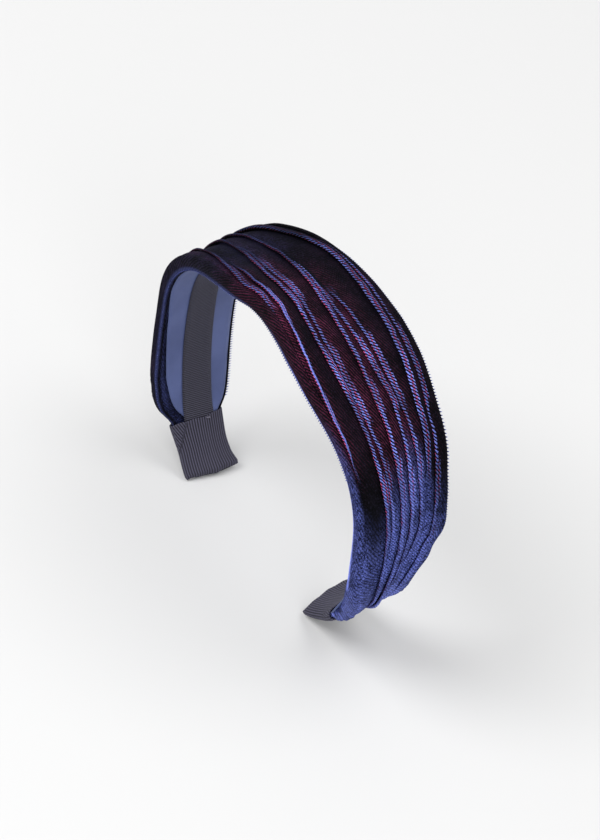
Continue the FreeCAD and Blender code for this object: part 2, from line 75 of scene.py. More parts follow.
# The camera: it looks at the middle of the band from the front right and above, rolled a little.
AIM = Vector((2.6, 0.8, 64.4)) * MM
CAMERA_AZIMUTH, CAMERA_ELEVATION, CAMERA_ROLL = 49.55, 42.17, 12.77
CAMERA_DISTANCE = 1462 * MM
LENS, SENSOR = 178.3, 36

# How far each side is twisted about its own line, in degrees: at the tip, and beside the head. The first
# share of the side holds the twist beside the head, and the one at the tip grows from the second share on.
TWISTS = {LEFT: (-5.2, 5.2), RIGHT: (-17.3, 14.0)}
SIDE_TWIST_SPAN, TIP_TWIST_START = 0.7, 0.55
# The right tip curls in more than the left, in degrees, and sways back: how far, and from which share on.
CURL, CURL_START, CURL_SPAN = 6.3, 85, 50
SWAY, SWAY_START = 3.2, 0.72

# Half width of the cover: distance along the band from the crown, half width.
HALF_WIDTH = ((0, 23.6), (16, 23.3), (32, 21.9), (48, 19.6), (65, 18.0), (97, 15.9), (122, 14.6),
              (131, 13.6), (136, 12.2), (140, 8.9), (152, 8.5))
# How much the back edge stands out or in on the right leg.
BACK_STEP = ((60, 0.0), (68, -0.9), (78, -0.7), (84, 0.4), (88, 0.7), (93, -1.0), (97, -0.9), (101, 0.0),
             (106, -0.2), (111, -1.2), (116, -1.7), (124, -1.2), (132, 0.0))
# How much the front edge stands out or in: out on the left leg above the cuff, and in by the crown, where
# the first pleat runs off the edge, and on the right leg.
FRONT_STEP = ((-140, 1.2), (-135, 2.2), (-122, 2.0), (-108, 0.6), (-94, 0.0), (-24, 0.0), (-17, -0.6),
              (-11, -2.3), (-3, -2.4), (8, -1.3), (18, -0.4), (27, 0.0), (100, 0.0), (114, -1.4),
              (124, -3.4), (131, -3.2), (137, -0.6), (140, 0.2))
# The height of the cover's base, which dips into the cuffs; the right leg puffs out above its cuff.
BASE_OFF = ((-152, 2.3), (-141, 2.4), (-137, 4.0), (-131, 4.9), (-120, 5.1), (108, 5.1), (119, 6.1),
            (127, 6.1), (132, 4.9), (136, 3.4), (140, 2.4), (152, 2.3))
BASE_TOP = 5.1

# Knife pleats from the front to the back. Each has its height, where it starts and ends along the band,
# and points on its crest: distance along, and place across from -1 at the front edge to 1 at the back.
FOLDS = (
    (1.5, -139, 2, ((-138, -0.50), (-100, -0.55), (-73, -0.55), (-52, -0.70), (-36, -0.80), (-22, -0.89),
                    (-10, -0.98))),
    (1.8, -36, 66, ((-36, -0.66), (-22, -0.72), (-14, -0.75), (2, -0.78), (19, -0.83), (34, -0.88),
                    (50, -0.96), (60, -0.99))),
    (1.6, -139, 132, ((-138, -0.10), (-90, -0.08), (-58, -0.16), (-38, -0.33), (-16, -0.45), (22, -0.53),
                      (44, -0.46), (60, -0.48), (87, -0.38), (138, -0.25))),
    (1.3, -52, 96, ((-46, -0.23), (-24, -0.29), (14, -0.40), (38, -0.38), (70, -0.30), (92, -0.24))),
    (1.7, -139, 139, ((-138, 0.20), (-90, 0.22), (-44, 0.16), (-18, 0.09), (14, -0.05), (71, -0.07),
                      (138, 0.02))),
    (1.4, -28, 120, ((-20, 0.18), (0, 0.10), (28, 0.12), (42, 0.24), (67, 0.15), (95, 0.17), (128, 0.25))),
    (1.2, -8, 106, ((-4, 0.24), (18, 0.30), (40, 0.34), (52, 0.38), (77, 0.38), (106, 0.36))),
    (2.2, -139, 70, ((-138, 0.55), (-90, 0.58), (-60, 0.54), (-40, 0.66), (-20, 0.79), (0, 0.71),
                     (26, 0.68), (64, 0.58))),
    (1.0, -34, 126, ((-22, 0.92), (12, 0.84), (44, 0.83), (62, 0.78), (75, 0.73), (100, 0.68), (134, 0.58))),
)
# The distance over which a pleat grows or dies away, and the least room between two and at the edges.
FOLD_FADE = 14
FOLD_GAP = 0.03
EDGE_ROOM = 1.0
# The fold whose crest is one thin plain line near the front edge, the one in the middle, and the one whose
# magenta ribs lie behind its blue ones, near the back edge.
SLIM_FOLD, MIDDLE_FOLD, BACK_FOLD = 1, 4, 7
# How much magenta the open cloth shows: in front of the first fold, then behind each fold.
OPEN_ROSE = (2.4, 1.9, 0.7, 1.2, 1.3, 1.1, 1.0, 0.5, 0.3, 0.3)

# The section of a pleat's edge: the part that turns back under the crest, then the crest. Each point is
# its distance behind the crest and its height, both as shares of the pleat's height.
PLEAT_TURN = ((0.62, 0.02), (0.70, 0.10), (0.55, 0.22), (0.25, 0.38), (-0.02, 0.58), (-0.12, 0.78),
              (-0.02, 0.94), (0.16, 1.0), (0.34, 1.0))
# The point of PLEAT_TURN on the crest, half the width of the turn where the pleat has died away, and the
# height from which it is fully folded.
PLEAT_TOP = 6
PLEAT_FLAT = 0.55
PLEAT_FULL = 0.9
# The cloth from one crest to the next turn: how many points, how they crowd to the front, its least width,
# how much it bellies out as a share of its width, and the most that it does.
RUN_POINTS, RUN_CROWDING, RUN_LEAST = 15, 1.4, 0.4
BELLY_SHARE, BELLY_MOST = 0.10, 0.6
# How much a crest's base stands higher at the edges than in the middle, and how far it keeps from the roll.
BASE_LIFT, ROLL_ROOM = 0.7, 0.2
# What stands for the distance behind a crest on the edges and hems, where there is none.
FAR_BEHIND = 9.0

# The rolled edge: distance in from the edge and height, from the hem under the lining to the outer face.
EDGE_ROLL = ((8.0, 0.80), (3.4, 0.72), (2.6, 0.66), (1.9, 0.46), (1.3, 0.34), (0.75, 0.42), (0.34, 0.85),
             (0.12, 1.5), (0.02, 2.4), (0.0, 3.5), (0.05, 4.6), (0.25, 5.45), (0.7, 6.0), (1.4, 6.15),
             (2.3, 5.95))

# Where the nap turns blue down the right leg, a painted sheen: place across, distance along where it starts.
SHEEN_BLUE_START = ((-1.0, 36), (-0.93, 46), (-0.84, 70), (-0.6, 75), (-0.42, 70), (-0.2, 60), (0.0, 54),
              (0.3, 48), (0.55, 54), (0.7, 68), (0.85, 64), (1.0, 62))
SHEEN_BLUE_SPAN = 34

# The ribs on a crest and on the open cloth behind it: distance along the band, then their pitch or how
# steeply they run there.
RIB_PITCH = ((-150, 1.36), (25, 1.36), (60, 1.12), (80, 1.2), (110, 1.5), (150, 2.0))
CREST_SLANT = 1.0
OPEN_PITCH = ((-150, 2.3), (80, 2.3), (112, 1.8), (150, 1.9))
OPEN_SLANT = ((-150, 2.1), (78, 2.1), (118, 0.3), (150, 0.2))
TOOTH_PITCH = 1.0
RIBBON_PITCH = 0.75
CUFF_RIB_PITCH = 0.95

# How far the lining's edges lie in from the cover's: it narrows at the front of the left leg.
LINING_FRONT = ((-150, 6.0), (-136, 5.6), (-122, 4.2), (-108, 3.0), (-92, 2.2), (-78, 1.6), (0, 1.7),
                (70, 1.3), (95, 1.8), (112, 3.0), (122, 2.0), (128, -1.2), (136, -1.6), (140, 0.8),
                (146, 2.4), (160, 2.6))
LINING_BACK = ((-150, 1.6), (0, 1.7), (70, 1.1), (95, 1.5), (112, 2.6), (134, 4.0), (141, 3.4), (160, 2.6))
# How far the hoop's edges lie in from the cover's, and the foam's.
CORE_INSET = ((0, 3.2), (125, 3.2), (141, 1.9), (160, 1.4))
FOAM_INSET = 3.2
RIBBON_HALF = 6.0
# The inner and outer faces of each layer, and how much the foam's outer face falls at its edges.
RIBBON_FACES, LINING_FACES, CORE_FACES, FOAM_FACES = (-0.42, -0.02), (0.05, 0.6), (0.85, 2.2), (2.3, 4.1)
FOAM_FALL, FOAM_FALL_START = 1.3, 0.8

# The cuffs: half width, the height of the inner face and of the outer, and the thickness of the wall.
CUFF_RING = 144
CUFF_HALF, CUFF_LOW, CUFF_HIGH = 10.1, -1.1, 4.1
CUFF_WALL = 0.6
# How much wider the front of each mouth is.
CUFF_FLARE = {"left": 1.3, "right": 0.4}
# The tuck in each sleeve's inner face: where it starts across the mouth, and how deep it is.
TUCK = {"left": (-5.4, 0.35), "right": (-7.0, 0.2)}
TUCK_SLOPE = 0.42
# The rings of the sleeve: how many turn in at the mouth and how deep the first lies, then how many follow
# down to the fold. The fold at the tip has these distances along it and shares of the sleeve's thickness.
MOUTH_RINGS, MOUTH_DEPTH, SLEEVE_RINGS = 6, 7, 26
TIP_FOLD = ((0.4, 0.70), (0.8, 0.52), (1.1, 0.34), (1.25, 0.16))
TIP_FOLD_START = 1.1

# The stitches: the threads' radii, the gathering rows and the room between them, and the tack's place
# across the cuff and half its length.
GATHER_RADIUS, TACK_RADIUS = 0.15, 0.12
GATHER_ROWS, GATHER_ROW_GAP = 3, 2.5
TACK_ACROSS, TACK_HALF = 3.2, 0.8

NOISE_SEED = 7
COVER_STEP = 0.8
LINE_STEP = 0.1
TABLE_STEP = 0.5
TABLE_S = np.arange(-HALF_LENGTH - PAST_TIP, HALF_LENGTH + PAST_TIP, TABLE_STEP)


def smoothstep(t):
    t = np.clip(t, 0, 1)
    return t * t * (3 - 2 * t)


def rise(value, start, span):
    """0 up to start, 1 from start + span on, and smooth between."""
    return smoothstep((value - start) / span)


def fall(value, end, span):
    """1 up to end - span, 0 from end on, and smooth between."""
    return smoothstep((end - value) / span)


def inner_line(curl):
    """The inner line of one side: distance, x, z and slope, with the tip curled in by some degrees."""
    corners, slopes = [0.0], [0.0]
    for radius, end in ARCS:
        corners.append(corners[-1] + radius * (math.radians(end) - slopes[-1]))
        slopes.append(math.radians(end))
    corners.append(corners[-1] + PAST_TIP)
    slopes.append(slopes[-1] + PAST_TIP / ARCS[-1][0])
    t = np.arange(0, corners[-1], LINE_STEP)
    slope = np.interp(t, corners, slopes) + math.radians(curl) * rise(t, CURL_START, CURL_SPAN)
    middle = (slope[1:] + slope[:-1]) / 2
    x = np.concatenate([[0], np.cumsum(np.cos(middle))]) * LINE_STEP
    z = INNER_TOP - np.concatenate([[0], np.cumsum(np.sin(middle))]) * LINE_STEP
    return t, x, z, slope


LINES = {LEFT: inner_line(0), RIGHT: inner_line(CURL)}


def soft_line(points, blur=4.0, mirrored=False):
    """A smooth function of the distance along the band through a few points."""
    where, what = np.array(points, float).T
    raw = np.interp(np.abs(TABLE_S) if mirrored else TABLE_S, where, what)
    reach = int(3 * blur / TABLE_STEP)
    weights = np.exp(-0.5 * (np.arange(-reach, reach + 1) * TABLE_STEP / blur) ** 2)
    padded = np.pad(raw, reach, mode="edge")
    smooth = np.convolve(padded, weights / weights.sum(), mode="valid")
    return lambda s: np.interp(s, TABLE_S, smooth)


def place(s, across, off):
    """Points in metres at distance s along the band, across it and off its inner line."""
    s, across, off = (np.asarray(a, float) for a in np.broadcast_arrays(s, across, off))
    t = np.abs(s)
    share = t / HALF_LENGTH
    side = np.sin(np.pi * np.clip(share / SIDE_TWIST_SPAN, 0, 1)) ** 2
    tip = rise(share, TIP_TWIST_START, 1 - TIP_TWIST_START)
    found = []
    for sign, body in ((-1, LEFT), (1, RIGHT)):
        tip_twist, side_twist = TWISTS[body]
        turn = np.radians(side_twist * side + tip_twist * tip)
        along, x, z, slope = LINES[body]
        slope = np.interp(t, along, slope)
        out = off * np.cos(turn) + across * np.sin(turn)
        y = across * np.cos(turn) - off * np.sin(turn)
        if body == RIGHT:
            y = y + SWAY * rise(share, SWAY_START, 1 - SWAY_START)
        found.append(np.stack([sign * (np.interp(t, along, x) + out * np.sin(slope)), y,
                               np.interp(t, along, z) + out * np.cos(slope)], axis=-1))
    return np.where((s < 0)[..., None], *found) * MM


half_width = soft_line(HALF_WIDTH, blur=1.6, mirrored=True)
back_step = soft_line(BACK_STEP, blur=2.0)
front_step = soft_line(FRONT_STEP, blur=2.0)
base_off = soft_line(BASE_OFF, blur=1.5)
lining_front, lining_back = soft_line(LINING_FRONT), soft_line(LINING_BACK)
core_inset = soft_line(CORE_INSET, mirrored=True)


def front_half(s):
    return half_width(s) + front_step(s)


def back_half(s):
    return half_width(s) + back_step(s)


def new_mesh(name, points, faces, material, attributes=None):
    """A smooth-shaded mesh object with point attributes."""
    mesh = bpy.data.meshes.new(name)
    mesh.from_pydata(points.reshape(-1, 3).tolist(), [], faces)
    mesh.polygons.foreach_set("use_smooth", np.ones(len(mesh.polygons), bool))
    for key, values in (attributes or {}).items():
        layer = mesh.attributes.new(key, "FLOAT", "POINT")
        layer.data.foreach_set("value", np.ascontiguousarray(values, np.float32).ravel())
    mesh.materials.append(material)
    mesh.validate()
    piece = bpy.data.objects.new(name, mesh)
    bpy.context.scene.collection.objects.link(piece)
    return piece


def grid_faces(rows, columns, ring=False):
    """Quads of a grid of points, row by row; ring joins the last column to the first."""
    i, j = np.meshgrid(np.arange(rows - 1), np.arange(columns if ring else columns - 1), indexing="ij")
    k = (j + 1) % columns
    quads = [i * columns + j, (i + 1) * columns + j, (i + 1) * columns + k, i * columns + k]
    return np.stack(quads, axis=-1).reshape(-1, 4).tolist()


def end_cap(rows, columns):
    """The face that closes the last ring of a tube."""
    last = (rows - 1) * columns
    return list(range(last + columns - 1, last - 1, -1))


def ring_faces(rows, columns):
    """Quads of a closed tube of rings with a cap at each end."""
    return grid_faces(rows, columns, ring=True) + [list(range(columns)), end_cap(rows, columns)]


def wobble(s, seed, lengths, size):
    """A small smooth wandering along the band, always the same for one seed."""
    rng = np.random.default_rng(NOISE_SEED + seed)
    total = np.zeros_like(s)
    for length in lengths:
        total += np.sin(2 * np.pi * s / length + rng.uniform(0, 2 * np.pi)) * rng.uniform(0.6, 1.0)
    return size * total / len(lengths)


# ---------------------------------------------------------------- materials

def rgb(code):
    """A linear colour from a display hex code."""
    parts = [int(code[k:k + 2], 16) / 255 for k in (0, 2, 4)]
    return tuple(c / 12.92 if c <= 0.04045 else ((c + 0.055) / 1.055) ** 2.4 for c in parts) + (1.0,)


class Look:
    """A material under construction: short calls that add nodes and return their outputs."""

    def __init__(self, name):
        self.material = bpy.data.materials.new(name)
        self.material.use_nodes = True
        self.tree = self.material.node_tree
        self.shader = self.tree.nodes["Principled BSDF"]

    def node(self, kind, **settings):
        made = self.tree.nodes.new(kind)
        for key, value in settings.items():
            setattr(made, key, value)
        return made

    def link(self, value, socket):
        if isinstance(value, bpy.types.NodeSocket):
            self.tree.links.new(value, socket)
        else:
            socket.default_value = value

    def attribute(self, name):
        return self.node("ShaderNodeAttribute", attribute_name=name).outputs["Fac"]

    def maths(self, operation, a, b=0.0):
        made = self.node("ShaderNodeMath", operation=operation)
        self.link(a, made.inputs[0])
        self.link(b, made.inputs[1])
        return made.outputs[0]

    def plus(self, a, b):
        return self.maths("ADD", a, b)

    def times(self, a, b):
        return self.maths("MULTIPLY", a, b)

    def highest(self, a, b):
        return self.maths("MAXIMUM", a, b)

    def ramp(self, value, low, high, to_low=0.0, to_high=1.0, smooth=True):
        made = self.node("ShaderNodeMapRange", interpolation_type="SMOOTHSTEP" if smooth else "LINEAR")
        for key, given in (("Value", value), ("From Min", low), ("From Max", high), ("To Min", to_low),
                           ("To Max", to_high)):
            self.link(given, made.inputs[key])
        return made.outputs["Result"]

    def mix(self, share, a, b):
        made = self.node("ShaderNodeMix", data_type="RGBA")
        self.link(share, made.inputs[0])
        self.link(a, made.inputs[6])
        self.link(b, made.inputs[7])
        return made.outputs[2]

    def tones(self, value, low, high, dark, light):
        """From one colour to another as a value goes from low to high."""
        return self.mix(self.ramp(value, low, high), rgb(dark), rgb(light))

    def noise(self, scale, detail=2.0, roughness=0.5):
        made = self.node("ShaderNodeTexNoise")
        made.inputs["Scale"].default_value = scale
        made.inputs["Detail"].default_value = detail
        made.inputs["Roughness"].default_value = roughness
        self.link(self.node("ShaderNodeTexCoord").outputs["Object"], made.inputs["Vector"])
        return made.outputs["Fac"]

    def wave(self, phase):
        """0 to 1 and back once for each whole number of phase."""
        return self.ramp(self.maths("SINE", self.times(phase, 2 * math.pi)), -1.0, 1.0, smooth=False)

    def bump(self, height, distance):
        made = self.node("ShaderNodeBump")
        made.inputs["Strength"].default_value = 1.0
        made.inputs["Distance"].default_value = distance
        self.link(height, made.inputs["Height"])
        self.link(made.outputs["Normal"], self.shader.inputs["Normal"])

    def set(self, **values):
        for key, value in values.items():
            self.link(value, self.shader.inputs[key.replace("_", " ")])

    def cloth(self, roughness, sheen, sheen_roughness, tint, specular):
        self.set(Roughness=roughness, Sheen_Weight=sheen, Sheen_Roughness=sheen_roughness,
                 Sheen_Tint=rgb(tint), Specular_IOR_Level=specular)


def velvet_look():
    """Two-tone ribbed velvet on a near-black ground: each rib turns from magenta to blue over a crest, the blue
    brightened as painted sheen.
    """
    look = Look("pleated_velvet")
    behind, strong, pair = (look.attribute(key) for key in ("behind", "strong", "pair"))
    speckle, patches = look.noise(1500, 2.0, 0.7), look.noise(110, 4.0, 0.65)
    jolt = look.ramp(look.noise(420, 3.0, 0.6), 0.2, 0.8, -0.22, 0.22)
    edges = look.plus(behind, look.ramp(look.noise(260, 3.0, 0.6), 0.25, 0.75, -0.35, 0.35))

    # The ribs of the crest, and those of the open cloth from about 2 mm behind it.
    crest_rib, open_rib = (look.wave(look.plus(look.attribute(key), jolt)) for key in ("rib", "open_rib"))
    is_open = look.ramp(behind, 2.1, 2.3)
    rib = look.plus(look.times(open_rib, is_open), look.times(crest_rib, look.maths("SUBTRACT", 1.0, is_open)))
    ticks = look.ramp(rib, 0.42, 0.72)

    def band(low, high, soft=0.16):
        """1 between two distances behind a crest, with soft ends."""
        return look.times(look.ramp(edges, low - soft, low + soft),
                          look.ramp(edges, high - soft, high + soft, 1.0, 0.0))

    def both(first, second):
        """The crest's own band, and the second one where the crest has a pair."""
        return look.highest(first, look.times(pair, second))

    cool = look.times(strong, both(band(0.05, 0.9), band(1.45, 2.05)))
    warm = look.times(strong, both(band(-0.7, -0.05), band(1.0, 1.4)))

    # The ground with its grain, and magenta on the ribs in front of each crest and faintly in the open.
    ground = look.tones(patches, 0.35, 0.7, "040407", "0b0a12")
    ground = look.mix(look.ramp(speckle, 0.52, 0.72, 0.0, 0.7), ground, rgb("1c1a28"))
    faint = look.times(look.ramp(patches, 0.34, 0.66, 0.25, 1.0), look.ramp(behind, 1.5, 8.0, 0.12, 0.04))
    rose = look.times(look.highest(warm, look.times(faint, look.attribute("open"))), ticks)
    rose = look.times(rose, look.ramp(speckle, 0.34, 0.56, 0.35, 1.0))
    ground = look.mix(rose, ground, rgb("d8588f"))

    # The blue nap, a painted sheen, dark in its grooves and, as painted shade, in the valleys beside the
    # crests.
    nap = look.tones(speckle, 0.36, 0.58, "121538", "6f7dd8")
    nap = look.mix(look.ramp(rib, 0.55, 0.1, 0.0, 0.65), nap, rgb("0c0e22"))
    # Painted highlight: the nap lighter near the gathers.
    nap = look.mix(look.attribute("painted_gather_highlight"), nap, rgb("96a2f4"))
    blue_sheen_and_hem = look.times(look.attribute("blue_sheen_and_hem"), look.ramp(patches, 0.34, 0.54, 0.45, 1.0))
    # Painted shade: the blue darker in the valleys beside each crest.
    painted_valley_shade = look.times(look.ramp(behind, -0.7, 0.4, 0.35, 1.0), look.ramp(behind, 1.2, 6.0, 1.0, 0.6))
    ground = look.mix(look.times(blue_sheen_and_hem, painted_valley_shade), ground, nap)

    # Blue crest ribs with painted sheen, a painted highlight on the front edge, painted black shade under each
    # turn.
    lit = look.highest(ticks, look.attribute("plain"))
    ground = look.mix(look.times(cool, lit), ground, rgb("8795f6"))
    # Painted highlight: a blue line along the front roll.
    line = look.times(look.attribute("line"), look.ramp(speckle, 0.3, 0.5, 0.45, 1.0))
    ground = look.mix(line, ground, rgb("8492ee"))
    look.set(Base_Color=look.mix(look.attribute("shade"), rgb("020203"), ground))
    look.cloth(0.85, 0.03, 0.3, "4a4f9c", 0.05)
    look.bump(look.plus(look.times(rib, 0.8), look.times(speckle, 0.5)), 0.0004)
    return look.material


def pile_look():
    """The ridges and teeth of pile that stand along the crests and edges."""
    look = Look("velvet_pile")
    speckle = look.noise(2500, 1.0)
    cool = look.tones(speckle, 0.35, 0.65, "5664c8", "97a5ff")
    warm = look.tones(speckle, 0.35, 0.65, "a83a70", "e05a98")
    shade = look.mix(look.attribute("warm"), cool, warm)
    look.set(Base_Color=look.mix(look.attribute("root"), shade, rgb("0d0a16")))
    look.cloth(0.8, 0.1, 0.4, "6a70c0", 0.1)
    look.bump(speckle, 0.0001)
    return look.material


def satin_look():
    """Slate-blue satin lining with a fine twill."""
    look = Look("lining_satin")
    twill = look.wave(look.times(look.plus(look.attribute("along"), look.attribute("across")), 2.6))
    base = look.tones(look.noise(60, 3.0), 0.3, 0.7, "414c78", "4f5b8a")
    look.set(Base_Color=look.mix(look.ramp(twill, 0.2, 0.9, 0.0, 0.25), base, rgb("66739f")))
    look.cloth(0.5, 0.2, 0.4, "9aa6d0", 0.35)
    look.bump(look.plus(look.times(twill, 0.5), look.noise(300, 2.0)), 0.00006)
    return look.material


def grosgrain_look(name, dark, light, key, pitch, front_edge_shadow=False):
    """Ribbed ribbon, its ribs counted along one attribute, with a thread between them, and if asked a painted
    shadow along its front edge.
    """
    look = Look(name)
    rib = look.wave(look.maths("DIVIDE", look.attribute(key), pitch))
    other = look.attribute("across" if key == "along" else "along")
    yarn = look.wave(look.times(other, 3.2))
    base = look.tones(rib, 0.1, 0.8, dark, light)
    base = look.mix(look.ramp(look.noise(90, 3.0), 0.35, 0.65, 0.0, 0.2), base, rgb("3c3a48"))
    if front_edge_shadow:
        # Painted shadow: dark between the ribs along the front edge.
        painted_edge_shadow = look.times(look.ramp(other, 1.0 - RIBBON_HALF, 0.5 - RIBBON_HALF), look.ramp(rib, 0.75, 0.35))
        base = look.mix(painted_edge_shadow, base, rgb("08080b"))
    look.set(Base_Color=base)
    look.cloth(0.72, 0.12, 0.5, "8e90a6", 0.25)
    look.bump(look.plus(rib, look.times(yarn, 0.15)), 0.00012)
    return look.material


def plastic_look():
    look = Look("core_plastic")
    grain = look.noise(900, 3.0)
    look.set(Base_Color=look.mix(grain, rgb("1b1b20"), rgb("26262c")),
             Roughness=look.ramp(grain, 0.3, 0.7, 0.4, 0.55))
    look.bump(grain, 0.00002)
    return look.material


def grainy_look(name, grain, dark, light, roughness, depth):
    """A plain soft stuff: two tones and a bump from one noise."""
    look = Look(name)
    cells = look.noise(*grain)
    look.set(Base_Color=look.tones(cells, 0.35, 0.65, dark, light), Roughness=roughness)
    look.bump(cells, depth)
    return look.material


def floor_look():
    look = Look("studio_floor")
    tone = look.mix(look.noise(3, 2.0), (0.62, 0.62, 0.62, 1), (0.63, 0.63, 0.63, 1))
    look.set(Base_Color=tone, Roughness=0.9, Specular_IOR_Level=0.1)
    return look.material


velvet = velvet_look()
pile = pile_look()
satin = satin_look()
ribbon_cloth = grosgrain_look("ribbon_grosgrain", "111017", "444351", "along", RIBBON_PITCH, front_edge_shadow=True)
cuff_cloth = grosgrain_look("cuff_grosgrain", "15141c", "494759", "across", CUFF_RIB_PITCH)
plastic = plastic_look()
foam = grainy_look("open_foam", (1400, 3.0, 0.6), "8f8c86", "d8d5cd", 0.95, 0.0003)
thread = grainy_look("sewing_thread", (3500, 2.0), "4b4857", "8a8798", 0.6, 0.00005)


# ---------------------------------------------------------------- velvet cover

def fold_lines(s):
    """Place across, in mm, and height of each pleat at the distances s."""
    wheres, heights = [], []
    for k, (height, start, end, points) in enumerate(FOLDS):
        shown = rise(s, start, FOLD_FADE) * fall(s, end, FOLD_FADE)
        heights.append(height * shown * (1 + wobble(s, 40 + k, (17, 29, 41), 0.22)))
        wheres.append(soft_line(points)(s) + wobble(s, 10 + k, (11, 19, 31), 0.012))
    for k in range(1, len(FOLDS)):
        wheres[k] = np.maximum(wheres[k], wheres[k - 1] + FOLD_GAP)
    wheres, heights = np.array(wheres), np.array(heights)
    half = np.where(wheres < 0, front_half(s), back_half(s)) - EDGE_ROOM
    return wheres * half, heights * np.clip(base_off(s) / BASE_TOP, 0.3, 1)


def pleat_turn(across, height, base):
    """The points of one pleat's edge; where the pleat has died away they lie flat, side by side."""
    folded = rise(height, 0, PLEAT_FULL)
    points = []
    for n, (back_share, up_share) in enumerate(PLEAT_TURN):
        flat = PLEAT_FLAT * (2 * n / (len(PLEAT_TURN) - 1) - 1)
        points.append((across + folded * back_share * height + (1 - folded) * flat, base + up_share * height))
    return points


def cover_section(s):
    """The cover's section at each s, from the hem in front to the hem behind: across, off, how far behind a
    crest each point is, that crest's height, the column of each crest, and each column's own crest."""
    across, heights = fold_lines(s)
    base, front, back = base_off(s), front_half(s), back_half(s)
    shrink = base / BASE_TOP
    roll_in, roll_height = EDGE_ROLL[-1]
    for k in range(len(FOLDS)):
        across[k] = np.maximum(across[k], -front + roll_in + ROLL_ROOM + 0.1 * k)
    columns, crests, anchors = [], [], []

    def add(y, off, behind, strength, anchor):
        columns.append([np.broadcast_to(a, s.shape).astype(float) for a in (y, off, behind, strength)])
        anchors.append(anchor)

    last = len(EDGE_ROLL) - 1
    for inward, height in EDGE_ROLL:
        add(-front + inward, height * shrink, FAR_BEHIND, 0.0, last)
    y0, h0, strength = -front + roll_in, roll_height * shrink, np.zeros_like(s)
    for k in range(len(FOLDS) + 1):
        turn = [(back - roll_in, roll_height * shrink)]
        if k < len(FOLDS):
            lift = BASE_LIFT * np.clip(np.abs(across[k]) / front, 0, 1) ** 3
            turn = pleat_turn(across[k], heights[k], base + lift)
        y1, h1 = turn[0]
        run = np.maximum(y1 - y0, RUN_LEAST)
        for n in range(1, RUN_POINTS + 1):
            t = (n / (RUN_POINTS + 1)) ** RUN_CROWDING
            level = h0 + (h1 - h0) * (0.35 * t + 0.65 * smoothstep(t))
            belly = np.minimum(BELLY_SHARE * run, BELLY_MOST) * np.sin(np.pi * t) * (1 - 0.4 * t)
            add(y0 + run * t, level + belly, 0.5 + t * run, strength, last)
        if k < len(FOLDS):
            last = len(columns) + PLEAT_TOP
            crests.append(last)
            for n, (y, h) in enumerate(turn):
                under = -1.4 * (1 - n / PLEAT_TOP) * heights[k]
                add(y, h, under if n < PLEAT_TOP else 0.25 * (n - PLEAT_TOP), heights[k], last)
            (y0, h0), strength = turn[-1], heights[k]
    for inward, height in reversed(EDGE_ROLL):
        add(back - inward, height * shrink, FAR_BEHIND, 0.0, last)
    return [np.array(a).T for a in zip(*columns)] + [crests, anchors]


# The gathers beside the cuffs: height, pitch, where they start and over what span they grow, and where they
# begin to crowd. Then the soft unevenness of the cloth: its height, and its waves along and round the band.
GATHER_HEIGHT, GATHER_PITCH, GATHER_START, GATHER_SPAN = 0.42, 2.6, 114, 22
CROWD_START, CROWD_SPAN, CROWDING = 105, 35, 0.8
PUFF_HEIGHT, PUFFS = 0.12, ((9.0, 4.0), (14.0, -6.0), (6.0, 9.0))
# Where the cover's outer side begins above the hem, and how far before a cuff the cloth goes smooth.
OUTER_FROM, OUTER_SPAN = 1.2, 1.5
SMOOTH_SPAN = 2.5


def crumple(along, girth, outer):
    """The gathers beside the cuffs and the softness of the cloth: how much more each point stands out."""
    distance = np.abs(along)
    turns = girth * (1 + CROWDING * rise(distance, CROWD_START, CROWD_SPAN)) / GATHER_PITCH
    ripple = np.sin(2 * np.pi * turns + 1.3 * np.sin(along / 5.0))
    gather = GATHER_HEIGHT * rise(distance, GATHER_START, GATHER_SPAN) * ripple
    rng = np.random.default_rng(NOISE_SEED)
    puff = sum(np.sin(along / a + girth / b + rng.uniform(0, 6.28)) for a, b in PUFFS)
    return (gather + PUFF_HEIGHT * puff) * outer * (1 - rise(distance, CUFF_TOP - SMOOTH_SPAN, SMOOTH_SPAN))


def painted_sheen_and_hem_blue(s, along, across, off, outer, share):
    """How blue the nap is: painted sheen down the right leg, faint on the left shoulder and weaker on the left
    leg; a blue band on the front hem.
    """
    where, start = np.array(SHEEN_BLUE_START).T
    # Painted sheen: the nap lighter and blue down the right leg, faintly on the left shoulder, and a weaker
    # copy on the left leg.
    right_leg_sheen = rise(along, np.interp(share, where, start), SHEEN_BLUE_SPAN)
    shoulder_sheen = 0.045 * rise(-along, 12, 30) * fall(share, 0.7, 0.5)
    inward = front_half(s)[:, None] + across
    hem_line = 0.03 + 0.22 * rise(inward, 1.2, 0.8) * fall(inward, 5.0, 1.5)
    front_hem = hem_line * fall(off, 1.3, 0.9) * (share < 0)
    left_leg_sheen = 0.5 * rise(-along - 26 * np.abs(share + 0.1), 72, 40) * rise(share, -0.9, 0.25) * outer
    return np.maximum(np.maximum(right_leg_sheen, shoulder_sheen), np.maximum(front_hem, left_leg_sheen))


